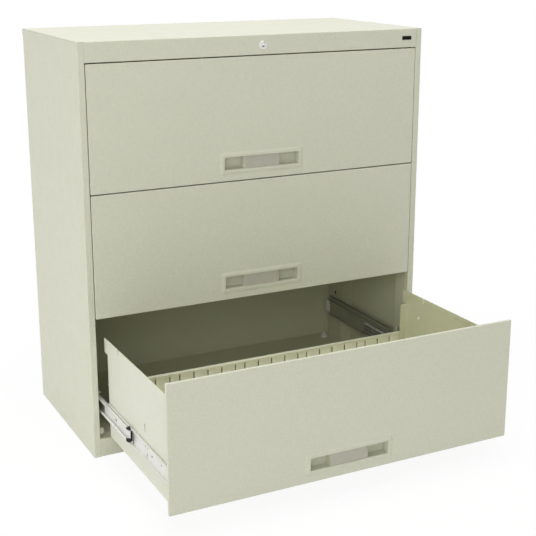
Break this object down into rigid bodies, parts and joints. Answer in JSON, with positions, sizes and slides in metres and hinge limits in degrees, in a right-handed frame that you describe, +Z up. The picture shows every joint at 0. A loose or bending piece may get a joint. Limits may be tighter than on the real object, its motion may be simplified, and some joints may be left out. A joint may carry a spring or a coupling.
{
  "type": "lateral filing cabinet",
  "caption": "Wide steel lateral filing cabinet with full-extension drawers on telescopic slides, recessed pulls with label holders, and a top lock that raises a hooked bar.",
  "frame": {"origin": "on the floor, at the middle of the footprint that the cabinet has with its bottom drawer pulled out", "axes": "+Z up, +X to the right as seen from the front, +Y towards the back; drawers open along -Y"},
  "size_m": [0.914, 0.8892, 1],
  "materials": {
    "case_paint": "satin putty paint",
    "front_paint": "satin putty paint",
    "drawer_paint": "satin putty paint",
    "pull_plastic": "moulded, satin",
    "label_plastic": "smooth, clear over a label",
    "zinc": "bright zinc",
    "lock_plating": "satin nickel",
    "iron": "black oxide",
    "glide_plastic": "moulded nylon"
  },
  "bodies": {
    "case": {"top_panel": "case_paint", "back_panel": "case_paint", "bottom_panel": "case_paint", "base_rail": "case_paint", "left_side_panel": "case_paint", "right_side_panel": "case_paint", "left_front_upright": "case_paint", "left_rear_upright": "case_paint", "right_front_upright": "case_paint", "right_rear_upright": "case_paint", "counterweight": "iron", "left_front_glide": "glide_plastic", "left_rear_glide": "glide_plastic", "right_front_glide": "glide_plastic", "right_rear_glide": "glide_plastic", "lock_housing": "lock_plating", "lock_crank_bracket": "zinc", "top_left_cabinet_rail": "zinc", "top_right_cabinet_rail": "zinc", "middle_left_cabinet_rail": "zinc", "middle_right_cabinet_rail": "zinc", "bottom_left_cabinet_rail": "zinc", "bottom_right_cabinet_rail": "zinc"},
    "lock_plug": {"lock_plug": "lock_plating", "lock_cam": "zinc"},
    "lock_rod": {"lock_rod": "zinc"},
    "lock_crank": {"lock_crank": "zinc"},
    "lock_bar": {"lock_bar": "zinc"},
    "top_drawer": {"top_drawer_front": "front_paint", "top_drawer_pull": "pull_plastic", "top_drawer_label_holder": "label_plastic", "top_drawer_pan": "drawer_paint", "top_drawer_left_side": "drawer_paint", "top_drawer_right_side": "drawer_paint", "top_left_drawer_rail": "zinc", "top_right_drawer_rail": "zinc"},
    "top_left_intermediate": {"top_left_intermediate_rail": "zinc"},
    "top_right_intermediate": {"top_right_intermediate_rail": "zinc"},
    "middle_drawer": {"middle_drawer_front": "front_paint", "middle_drawer_pull": "pull_plastic", "middle_drawer_label_holder": "label_plastic", "middle_drawer_pan": "drawer_paint", "middle_drawer_left_side": "drawer_paint", "middle_drawer_right_side": "drawer_paint", "middle_left_drawer_rail": "zinc", "middle_right_drawer_rail": "zinc"},
    "middle_left_intermediate": {"middle_left_intermediate_rail": "zinc"},
    "middle_right_intermediate": {"middle_right_intermediate_rail": "zinc"},
    "bottom_drawer": {"bottom_drawer_front": "front_paint", "bottom_drawer_pull": "pull_plastic", "bottom_drawer_label_holder": "label_plastic", "bottom_drawer_pan": "drawer_paint", "bottom_drawer_left_side": "drawer_paint", "bottom_drawer_right_side": "drawer_paint", "bottom_left_drawer_rail": "zinc", "bottom_right_drawer_rail": "zinc"},
    "bottom_left_intermediate": {"bottom_left_intermediate_rail": "zinc"},
    "bottom_right_intermediate": {"bottom_right_intermediate_rail": "zinc"}
  },
  "joints": [
    {"name": "top_drawer_slide", "type": "slide", "parent": "case", "child": "top_drawer", "axis": [0, -1, 0], "range_m": [0, 0.438]},
    {"name": "top_left_intermediate_slide", "type": "slide", "parent": "case", "child": "top_left_intermediate", "axis": [0, -1, 0], "range_m": [0, 0.219]},
    {"name": "top_right_intermediate_slide", "type": "slide", "parent": "case", "child": "top_right_intermediate", "axis": [0, -1, 0], "range_m": [0, 0.219]},
    {"name": "middle_drawer_slide", "type": "slide", "parent": "case", "child": "middle_drawer", "axis": [0, -1, 0], "range_m": [0, 0.438]},
    {"name": "middle_left_intermediate_slide", "type": "slide", "parent": "case", "child": "middle_left_intermediate", "axis": [0, -1, 0], "range_m": [0, 0.219]},
    {"name": "middle_right_intermediate_slide", "type": "slide", "parent": "case", "child": "middle_right_intermediate", "axis": [0, -1, 0], "range_m": [0, 0.219]},
    {"name": "bottom_drawer_slide", "type": "slide", "parent": "case", "child": "bottom_drawer", "axis": [0, -1, 0], "range_m": [-0.438, 0]},
    {"name": "bottom_left_intermediate_slide", "type": "slide", "parent": "case", "child": "bottom_left_intermediate", "axis": [0, -1, 0], "range_m": [-0.219, 0]},
    {"name": "bottom_right_intermediate_slide", "type": "slide", "parent": "case", "child": "bottom_right_intermediate", "axis": [0, -1, 0], "range_m": [-0.219, 0]},
    {"name": "lock_turn", "type": "hinge", "parent": "case", "child": "lock_plug", "pos_m": [0.003, 0, 0.9752], "axis": [0, 1, 0], "range_deg": [0, 90]},
    {"name": "lock_rod_slide", "type": "slide", "parent": "case", "child": "lock_rod", "axis": [-1, 0, 0], "range_m": [0, 0.01697]},
    {"name": "lock_crank_turn", "type": "hinge", "parent": "case", "child": "lock_crank", "pos_m": [0.4353, 0.0318, 0.951], "axis": [0, -1, 0], "range_deg": [0, 69]},
    {"name": "lock_bar_lift", "type": "slide", "parent": "case", "child": "lock_bar", "axis": [0, 0, 1], "range_m": [0, 0.017]}
  ],
  "couplings": [
    {"joint": "top_left_intermediate_slide", "follows": "top_drawer_slide", "ratio": 0.5},
    {"joint": "top_right_intermediate_slide", "follows": "top_drawer_slide", "ratio": 0.5},
    {"joint": "middle_left_intermediate_slide", "follows": "middle_drawer_slide", "ratio": 0.5},
    {"joint": "middle_right_intermediate_slide", "follows": "middle_drawer_slide", "ratio": 0.5},
    {"joint": "bottom_left_intermediate_slide", "follows": "bottom_drawer_slide", "ratio": 0.5},
    {"joint": "bottom_right_intermediate_slide", "follows": "bottom_drawer_slide", "ratio": 0.5},
    {"joint": "lock_turn", "follows": "lock_rod_slide", "rad_per_m": 92.557},
    {"joint": "lock_crank_turn", "follows": "lock_rod_slide", "rad_per_m": 70.862},
    {"joint": "lock_bar_lift", "follows": "lock_rod_slide", "ratio": 1}
  ]
}
